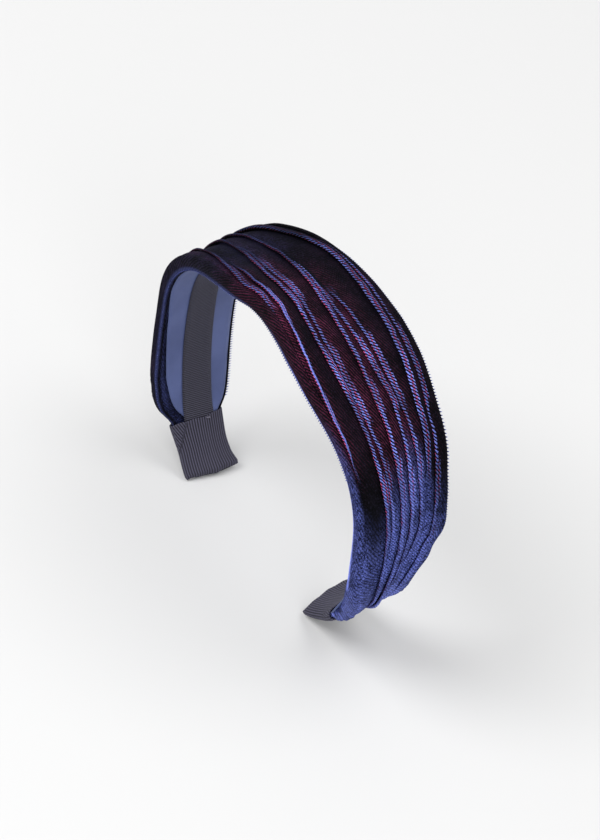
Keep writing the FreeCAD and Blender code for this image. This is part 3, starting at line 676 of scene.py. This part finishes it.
def make_cover():
    """The pleated velvet, and what the pile needs to know of its surface."""
    end = CUFF_TOP + NECK_DEPTH
    s = np.linspace(-end, end, int(2 * end / COVER_STEP) + 1)
    across, off, behind, strength, crests, anchors = cover_section(s)
    along = np.broadcast_to(s[:, None], across.shape)
    steps = np.hypot(np.diff(across, axis=1), np.diff(off, axis=1))
    girth = np.concatenate([np.zeros((len(s), 1)), np.cumsum(steps, axis=1)], axis=1)
    girth = girth - girth[:, crests[MIDDLE_FOLD]][:, None]
    outer = rise(off, OUTER_FROM, OUTER_SPAN)
    off = off + crumple(along, girth, outer)

    def patchy(level, swing, seed, cycle, lengths):
        """0 to 1 in stretches along each crest, a different run of them for each."""
        runs = [smoothstep(level + swing * wobble(s, seed + k % cycle, lengths, 1.0)) for k in anchors]
        return np.stack(runs, axis=-1)

    # How strongly each crest's ribs show, and where they come in pairs.
    share = across / half_width(s)[:, None]
    low = rise(along, 58, 36)
    streak = patchy(0.55, 2.2, 80, 11, (31, 47, 83))
    strong = np.clip(strength / 1.5, 0, 1) * (0.12 + 0.88 * rise(along, -44, 62))
    strong = strong * (0.5 + 0.5 * streak) * (1 - 0.75 * low)
    regions = [anchors[0], *crests]
    opened = outer * (behind > 0.5) * (1 - rise(along, 50, 25)) * (0.15 + 0.85 * rise(along, -38, 36))
    opened = opened * np.array([OPEN_ROSE[regions.index(anchor)] for anchor in anchors])
    # Painted highlight: a thin blue line along the roll of the front edge.
    line = rise(-share, 0.88, 0.05) * fall(np.abs(off - 1.25), 0.75, 0.3) * (0.12 + 0.88 * rise(along, 2, 30))

    # The two folds that differ: one thin line near the front, and magenta behind blue near the back.
    slim, back_fold = (np.array([anchor == crests[k] for anchor in anchors]) for k in (SLIM_FOLD, BACK_FOLD))
    behind = np.where(slim & (behind > 0), 2.3 * behind, behind)
    behind = np.where(back_fold & (behind > -2), behind + 0.6, behind)
    pair = np.where(back_fold, 0.8, patchy(0.2, 2.5, 60, 9, (23, 37, 61)))

    # The count of ribs along the band, slanted across each crest and the cloth behind it.
    step = s[1] - s[0]
    turned = girth - girth[:, anchors]
    rib_pitch, open_pitch, slant = (soft_line(table)(s)[:, None]
                                    for table in (RIB_PITCH, OPEN_PITCH, OPEN_SLANT))
    rib = np.cumsum(step / rib_pitch, axis=0) - CREST_SLANT * turned / rib_pitch
    open_rib = np.cumsum(step / open_pitch, axis=0) - slant * turned / open_pitch
    # Painted shade: black where each pleat turns under its crest, and on the hems' last columns under the
    # lining.
    shade = np.where(behind < 0, rise(behind, -1.2, 0.5), 1.0)
    shade[:, [0, -1]] = 0.0
    # Among the marks is a painted highlight: the nap lighter near the gathers.
    marks = {"behind": behind, "strong": strong, "pair": pair, "rib": rib, "open_rib": open_rib,
             "shade": shade, "open": opened, "line": line, "plain": np.where(slim, 0.6, 0.5 * low),
             "blue_sheen_and_hem": painted_sheen_and_hem_blue(s, along, across, off, outer, share), "painted_gather_highlight": 0.28 * rise(along, 104, 26) * outer}
    cover = new_mesh("velvet_cover", place(along, across, off), grid_faces(*across.shape), velvet, marks)
    return cover, {"s": s, "across": across, "off": off, "girth": girth, "rib": rib, "crests": crests,
                   "strength": strength, "streak": streak}


# The ridges of pile: the stretch of the band that has them and how ragged its ends are, the lowest crest
# that has them, and the lengths of the blue ones and of the rose ones in front.
RIDGES_FROM, RIDGES_TO, RIDGE_SCATTER = -18, 72, 60
LOWEST_RIDGED, BLUE_RIDGE, ROSE_RIDGE = 0.4, 1.0, 0.7
# The teeth: where the front edge's end, how far all of them end before a cuff, and how far they stand out.
FRONT_TEETH_END, TEETH_END_GAP = 64, 5
FRONT_REACH, HEM_REACH, BACK_REACH = -0.32, 1.15, 0.75


def make_pile(weave):
    """Ridges of pile that lie across each crest, rose ones in front of them, and teeth along both edges."""
    rng = np.random.default_rng(NOISE_SEED + 1)
    s, across, off, girth, rib = (weave[key] for key in ("s", "across", "off", "girth", "rib"))
    points, faces, warm, root = [], [], [], []

    def on_surface(at, reach):
        """Across and off where the girth is reach, at distance at along the band."""
        row = (at - s[0]) / (s[1] - s[0])
        low = int(np.clip(row, 0, len(s) - 2))
        share = row - low
        line, y, h = (rows[low] * (1 - share) + rows[low + 1] * share for rows in (girth, across, off))
        return np.interp(reach, line, y), np.interp(reach, line, h)

    def ridge(at, start, end, width, height, rose):
        """A low ridge along the rib through distance at, between two girths."""
        a, b, c, d, top = range(len(points), len(points) + 5)
        middle = (start + end) / 2
        for reach, aside, lift in ((start, 0, -0.03), (end, 0, -0.03), (middle, -width, -0.05),
                                   (middle, width, -0.05), (start * 0.62 + end * 0.38, 0, height)):
            where = at + CREST_SLANT * (reach - start) + aside
            y, h = on_surface(where, reach)
            points.append((where, y, h + lift))
        warm.extend([rose] * 5)
        root.extend([0.7, 0.9, 0.9, 0.9, 0.0])
        faces.extend([[a, d, top], [d, b, top], [b, c, top], [c, a, top], [a, c, b, d]])

    def tooth(at, y, h, lean, out_y, out_h, width):
        """A small spike that stands on three points."""
        a, b, c, top = range(len(points), len(points) + 4)
        points.extend([(at - width, y, h), (at + width, y, h), (at, y + 0.25, h + 0.35),
                       (at + lean, y + out_y, h + out_h)])
        warm.extend([0.0] * 4)
        root.extend([0.8, 0.8, 0.8, 0.0])
        faces.extend([[a, b, top], [b, c, top], [c, a, top], [c, b, a]])

    for k, column in enumerate(weave["crests"]):
        phase = rib[:, column]
        for number in np.arange(math.ceil(phase[0]), math.floor(phase[-1])):
            at = np.interp(number + 0.25, phase, s)
            height = np.interp(at, s, weave["strength"][:, column])
            jitter = rng.uniform(-0.12, 0.12, 3)
            streak = weave["streak"][int(np.clip((at - s[0]) / (s[1] - s[0]), 0, len(s) - 1)), column]
            scatter = RIDGE_SCATTER * jitter[1]
            if height < LOWEST_RIDGED or not RIDGES_FROM + scatter < at < RIDGES_TO + scatter or streak < 0.3:
                continue
            here = np.interp(at, s, girth[:, column])
            ridge(at, here, here + BLUE_RIDGE + jitter[0], 0.18, 0.22 + 0.3 * abs(jitter[1]), 0.0)
            if k not in (SLIM_FOLD, BACK_FOLD):
                ridge(at - CREST_SLANT * ROSE_RIDGE, here - ROSE_RIDGE + jitter[2], here, 0.17, 0.16, 1.0)
    limit = CUFF_TOP - TEETH_END_GAP
    for at in np.arange(-limit, limit, TOOTH_PITCH):
        jitter = rng.uniform(-0.08, 0.08, 3)
        front, back = float(front_half(at)), float(back_half(at))
        if at < FRONT_TEETH_END:
            tooth(at, -front + 0.12, 0.9, 0.15, FRONT_REACH + jitter[0], -0.12, 0.24)
        if at < 0:
            tooth(at + 0.2, back - 0.4, 0.95, 0.15, HEM_REACH + jitter[0], -0.25, 0.32)
        tooth(at, back - 0.12, 4.6, 0.25, BACK_REACH + jitter[1], 0.25 + jitter[2], 0.30)
        tooth(at + 0.4, back - 0.06, 2.4, 0.2, BACK_REACH + jitter[2], -0.1, 0.28)
    return new_mesh("velvet_pile", place(*np.array(points).T), faces, pile,
                    {"warm": np.array(warm), "root": np.array(root)})


# ---------------------------------------------------------------- swept bands

def make_band(name, material, s, profile, half_front, half_back, detail=None):
    """A closed band. profile is a ring of (share across, off), outer face first from front to back."""
    shares, offs = np.array(profile, float).T
    half = np.where(shares[None, :] < 0, half_front(s)[:, None], half_back(s)[:, None])
    across, off = half * shares[None, :], np.broadcast_to(offs[None, :], half.shape).copy()
    if detail:
        across, off = detail(s[:, None], across, off)
    along = np.broadcast_to(s[:, None], across.shape)
    return new_mesh(name, place(along, across, off), ring_faces(*across.shape), material,
                    {"along": along, "across": across})


def flat_ring(low, high, count):
    """A ring of a flat strip with softened edges, count points on each face."""
    soft = 0.6 * (high - low) / 2
    outer = [(t, high - (soft if abs(t) > 0.999 else 0)) for t in np.linspace(-1, 1, count)]
    inner = [(t, low + (soft if abs(t) > 0.999 else 0)) for t in np.linspace(1, -1, count)]
    return outer + inner


def run_of_band(end_gap, count):
    """Distances along the band that stop short of both tips."""
    return np.linspace(end_gap - HALF_LENGTH, HALF_LENGTH - end_gap, count)


def make_lining():
    def waves(along, across, off):
        ripple = 0.06 * np.sin(along / 3.1 + across / 5) + 0.05 * np.sin(along / 1.7 - across / 3)
        return across, off + ripple * smoothstep(np.abs(across) / 12)

    return make_band("satin_lining", satin, run_of_band(LINING_END_GAP, 420), flat_ring(*LINING_FACES, 22),
                     lambda s: front_half(s) - lining_front(s), lambda s: back_half(s) - lining_back(s), waves)


def make_ribbon():
    end = HALF_LENGTH - RIBBON_END_GAP

    def ribs(along, across, off):
        rib = np.cos(2 * np.pi * along / RIBBON_PITCH)
        return across * (1 + 0.018 * rib), off - np.where(off < -0.25, 0.08 * rib, 0)

    def even(s):
        return np.full_like(s, RIBBON_HALF)

    return make_band("grosgrain_ribbon", ribbon_cloth, np.arange(-end, end, RIBBON_PITCH / 5),
                     flat_ring(*RIBBON_FACES, 7), even, even, ribs)


def make_core():
    return make_band("hoop_core", plastic, run_of_band(CORE_END_GAP, 260), flat_ring(*CORE_FACES, 12),
                     lambda s: front_half(s) - core_inset(s), lambda s: back_half(s) - core_inset(s))


def make_foam():
    low, high = FOAM_FACES
    outer = [(t, high - FOAM_FALL * max(0.0, abs(t) - FOAM_FALL_START) / 0.2) for t in np.linspace(-1, 1, 20)]
    inner = [(t, low) for t in np.linspace(1, -1, 12)]
    return make_band("foam_padding", foam, run_of_band(FOAM_END_GAP, 220), outer + inner,
                     lambda s: front_half(s) - FOAM_INSET, lambda s: back_half(s) - FOAM_INSET)


# ---------------------------------------------------------------- cuffs and stitches

def side_sign(side):
    return -1 if side == "left" else 1


def signed_power(value, power):
    return np.sign(value) * np.abs(value) ** power


def make_cuff(side):
    """A ribbed sleeve, turned in at its mouth and folded shut at the tip."""
    sign = side_sign(side)
    turn = np.linspace(0, 2 * np.pi, CUFF_RING, endpoint=False)
    middle, deep = (CUFF_HIGH + CUFF_LOW) / 2, (CUFF_HIGH - CUFF_LOW) / 2
    across_unit, off_unit = -signed_power(np.cos(turn), 0.62), signed_power(np.sin(turn), 0.75)
    steps = np.hypot(np.diff(across_unit * CUFF_HALF), np.diff(off_unit * deep))
    girth = np.concatenate([[0], np.cumsum(steps)])
    rows = []

    def ring(s, width, depth, rib=1.0):
        """One ring of the sleeve, its ribs standing out of it."""
        t = (s - CUFF_TOP) / CUFF_LENGTH
        in_front = CUFF_FLARE[side] * np.clip(1 - 1.7 * t, 0, 1) ** 1.4
        behind = 0.9 * rise(t, 0.72, 0.28) - 0.4 * np.sin(np.pi * np.clip(t, 0, 1))
        bump = 0.07 * rib * np.sin(2 * np.pi * girth / CUFF_RIB_PITCH)
        across = across_unit * (width + np.where(across_unit < 0, in_front, behind)) + bump * across_unit
        off = middle + off_unit * depth + bump * signed_power(off_unit, 0.3)
        rows.append((np.full_like(across, s), across, off))

    mouth, tip = CUFF_TOP, HALF_LENGTH
    for n in range(MOUTH_RINGS):
        ring(mouth + MOUTH_DEPTH - 1.3 * n, CUFF_HALF - CUFF_WALL, deep - CUFF_WALL, rib=0.3)
    ring(mouth + 0.12, CUFF_HALF - 0.45, deep - 0.45, rib=0.5)
    ring(mouth - 0.12, CUFF_HALF - 0.2, deep - 0.2, rib=0.7)
    for t in np.linspace(0, 1, SLEEVE_RINGS):
        ring(mouth + 0.05 + (CUFF_LENGTH - 1.2) * t, CUFF_HALF + 0.10 * math.sin(t * 9) + 0.35 * t ** 3,
             deep * (1 - 0.22 * t ** 2))
    for t, thin in TIP_FOLD:
        ring(tip - TIP_FOLD_START + t, CUFF_HALF + 0.3 - 0.25 * t, deep * thin, rib=0.8)
    along, across, off = (np.array(a) for a in zip(*rows))

    # The mouth and the tip run unevenly, and the inner face has a tuck with slanted ribs.
    wave = 0.28 * np.sin(across / 2.6 + 1.0) + 0.16 * np.sin(across / 1.1)
    near_mouth, near_tip = fall(along, mouth + 5, 5), rise(along, tip - 5, 5)
    along = along + (wave - 0.08 * across) * near_mouth + 1.3 * wave * near_tip
    start, depth = TUCK[side]
    edge = start - TUCK_SLOPE * (along - mouth)
    tucked = (across < edge) & (off_unit < 0)
    off = off - depth * smoothstep((edge - across) / 0.4) * tucked
    slanted = TUCK_SLOPE * (along - mouth) * tucked
    points = place(sign * along, across, off)
    points[..., 2] = np.maximum(points[..., 2], 0.0)
    faces = grid_faces(*across.shape, ring=True) + [end_cap(*across.shape)]
    if sign < 0:
        faces = [face[::-1] for face in faces]
    return new_mesh("cuff_sleeve_" + side, points, faces, cuff_cloth,
                    {"along": along, "across": girth + slanted})


def tube(name, path, radius, material, closed=False):
    """A round thread along a path of points in metres."""
    ahead = np.roll(path, -1, axis=0) - np.roll(path, 1, axis=0)
    if not closed:
        ahead[0], ahead[-1] = path[1] - path[0], path[-1] - path[-2]
    ahead /= np.linalg.norm(ahead, axis=1)[:, None]
    side = np.cross(ahead, np.array([0.3, 0.9, 0.31]))
    side /= np.linalg.norm(side, axis=1)[:, None]
    up = np.cross(side, ahead)
    turn = np.linspace(0, 2 * np.pi, 8, endpoint=False)[None, :, None]
    rings = path[:, None] + radius * MM * (side[:, None] * np.cos(turn) + up[:, None] * np.sin(turn))
    rows, columns = rings.shape[:2]
    faces = ring_faces(rows, columns)
    if closed:
        last = (rows - 1) * columns
        seam = [[last + j, j, (j + 1) % columns, last + (j + 1) % columns] for j in range(columns)]
        faces = grid_faces(rows, columns, ring=True) + seam
    return new_mesh(name, rings, faces, material)


def join(name, parts):
    """One object from several meshes that share a material."""
    points, faces = [], []
    for part in parts:
        faces += [[len(points) + k for k in face.vertices] for face in part.data.polygons]
        points += [vertex.co[:] for vertex in part.data.vertices]
    whole = new_mesh(name, np.array(points), faces, parts[0].data.materials[0])
    for part in parts:
        bpy.data.objects.remove(part)
    return whole


def make_gather_threads(side):
    """Rows of thread round the neck of the cover, inside the cuff."""
    turn = np.linspace(0, 2 * np.pi, 48, endpoint=False)
    across, off = 9.0 * signed_power(np.cos(turn), 0.6), 1.35 + 1.75 * signed_power(np.sin(turn), 0.7)
    rows = [tube("row%d" % row, place(side_sign(side) * (CUFF_TOP + GATHER_ROW_GAP * row), across, off),
                 GATHER_RADIUS, thread, closed=True) for row in range(1, GATHER_ROWS + 1)]
    return join("gather_threads_" + side, rows)


def make_tack(side):
    """A thread tack that holds the centre ribbon to the cuff: two short stitches side by side."""
    stitches = []
    for n, lean in enumerate((-0.25, 0.3)):
        t = np.linspace(-1, 1, 9)
        s = CUFF_TOP + 0.7 + lean * 0.8 + 0.25 * t
        off = CUFF_LOW - 0.12 - 0.16 * (1 - t ** 2)
        path = place(side_sign(side) * s, TACK_HALF * t + TACK_ACROSS, off)
        stitches.append(tube("stitch%d" % n, path, TACK_RADIUS, thread))
    return join("cuff_tack_stitch_" + side, stitches)


cover, weave = make_cover()
fringe = make_pile(weave)
lining = make_lining()
ribbon = make_ribbon()
core = make_core()
foam_pad = make_foam()
cuffs = {side: make_cuff(side) for side in SIDES}
threads = {side: make_gather_threads(side) for side in SIDES}
tacks = {side: make_tack(side) for side in SIDES}

# ---------------------------------------------------------------- bodies, and the parts they replace hidden

for piece, stem, slot in ((cover, "velvet_cover", "velvet"), (lining, "lining", "lining_satin"),
                          (ribbon, "centre_ribbon", "grosgrain"), (core, "core_band", "core_plastic"),
                          (foam_pad, "foam_pad", "foam")):
    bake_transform(piece)
    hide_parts(stem + "_left", stem + "_right")
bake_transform(fringe)
for side, body in zip(SIDES, (LEFT, RIGHT)):
    for piece, stem, slot in ((cuffs[side], "cuff", "grosgrain"), (threads[side], "gather_thread", "thread"),
                              (tacks[side], "cuff_tack", "thread")):
        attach(piece, body)
        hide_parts(stem + "_" + side)

# ---------------------------------------------------------------- floor, light and camera

FLOOR_SIZE = 3.0
floor_points = np.array([(-1, -1, 0), (1, -1, 0), (1, 1, 0), (-1, 1, 0)], float) * FLOOR_SIZE
floor = new_mesh("studio_floor", floor_points, [[0, 1, 2, 3]], floor_look())

# The lamps: name, place, width and power.
LAMPS = (("key", (-0.5, -0.9, 1.3), 1.0, 16), ("fill", (1.3, -0.5, 0.7), 1.0, 7),
         ("top", (0.2, 0.6, 1.5), 1.2, 8))
SKY_STRENGTH = 0.75

scene = bpy.context.scene
for name, position, size, power in LAMPS:
    data = bpy.data.lights.new(name, "AREA")
    data.shape, data.size, data.energy = "DISK", size, power
    lamp = bpy.data.objects.new(name, data)
    lamp.location = position
    lamp.rotation_mode = "QUATERNION"
    lamp.rotation_quaternion = (AIM - Vector(position)).to_track_quat("-Z", "Y")
    scene.collection.objects.link(lamp)

world = bpy.data.worlds.new("studio")
world.use_nodes = True
sky = world.node_tree.nodes["Background"]
sky.inputs["Color"].default_value = (1, 1, 1, 1)
sky.inputs["Strength"].default_value = SKY_STRENGTH
scene.world = world
scene.view_settings.view_transform = "Standard"

azimuth, elevation, roll = (math.radians(a) for a in (CAMERA_AZIMUTH, CAMERA_ELEVATION, CAMERA_ROLL))
back = Vector((math.sin(azimuth) * math.cos(elevation), -math.cos(azimuth) * math.cos(elevation),
               math.sin(elevation)))
level = Vector((math.cos(azimuth), math.sin(azimuth), 0))
upright = back.cross(level)
camera_x = math.cos(roll) * level + math.sin(roll) * upright
camera_y = -math.sin(roll) * level + math.cos(roll) * upright
turned = Matrix((camera_x, camera_y, back)).transposed().to_4x4()
lens = bpy.data.cameras.new("camera")
lens.lens, lens.sensor_width, lens.sensor_fit = LENS, SENSOR, "AUTO"
lens.clip_start, lens.clip_end = 0.05, 20
camera = bpy.data.objects.new("camera", lens)
camera.matrix_world = Matrix.Translation(AIM + back * CAMERA_DISTANCE) @ turned
scene.collection.objects.link(camera)
bpy.context.scene.camera = camera
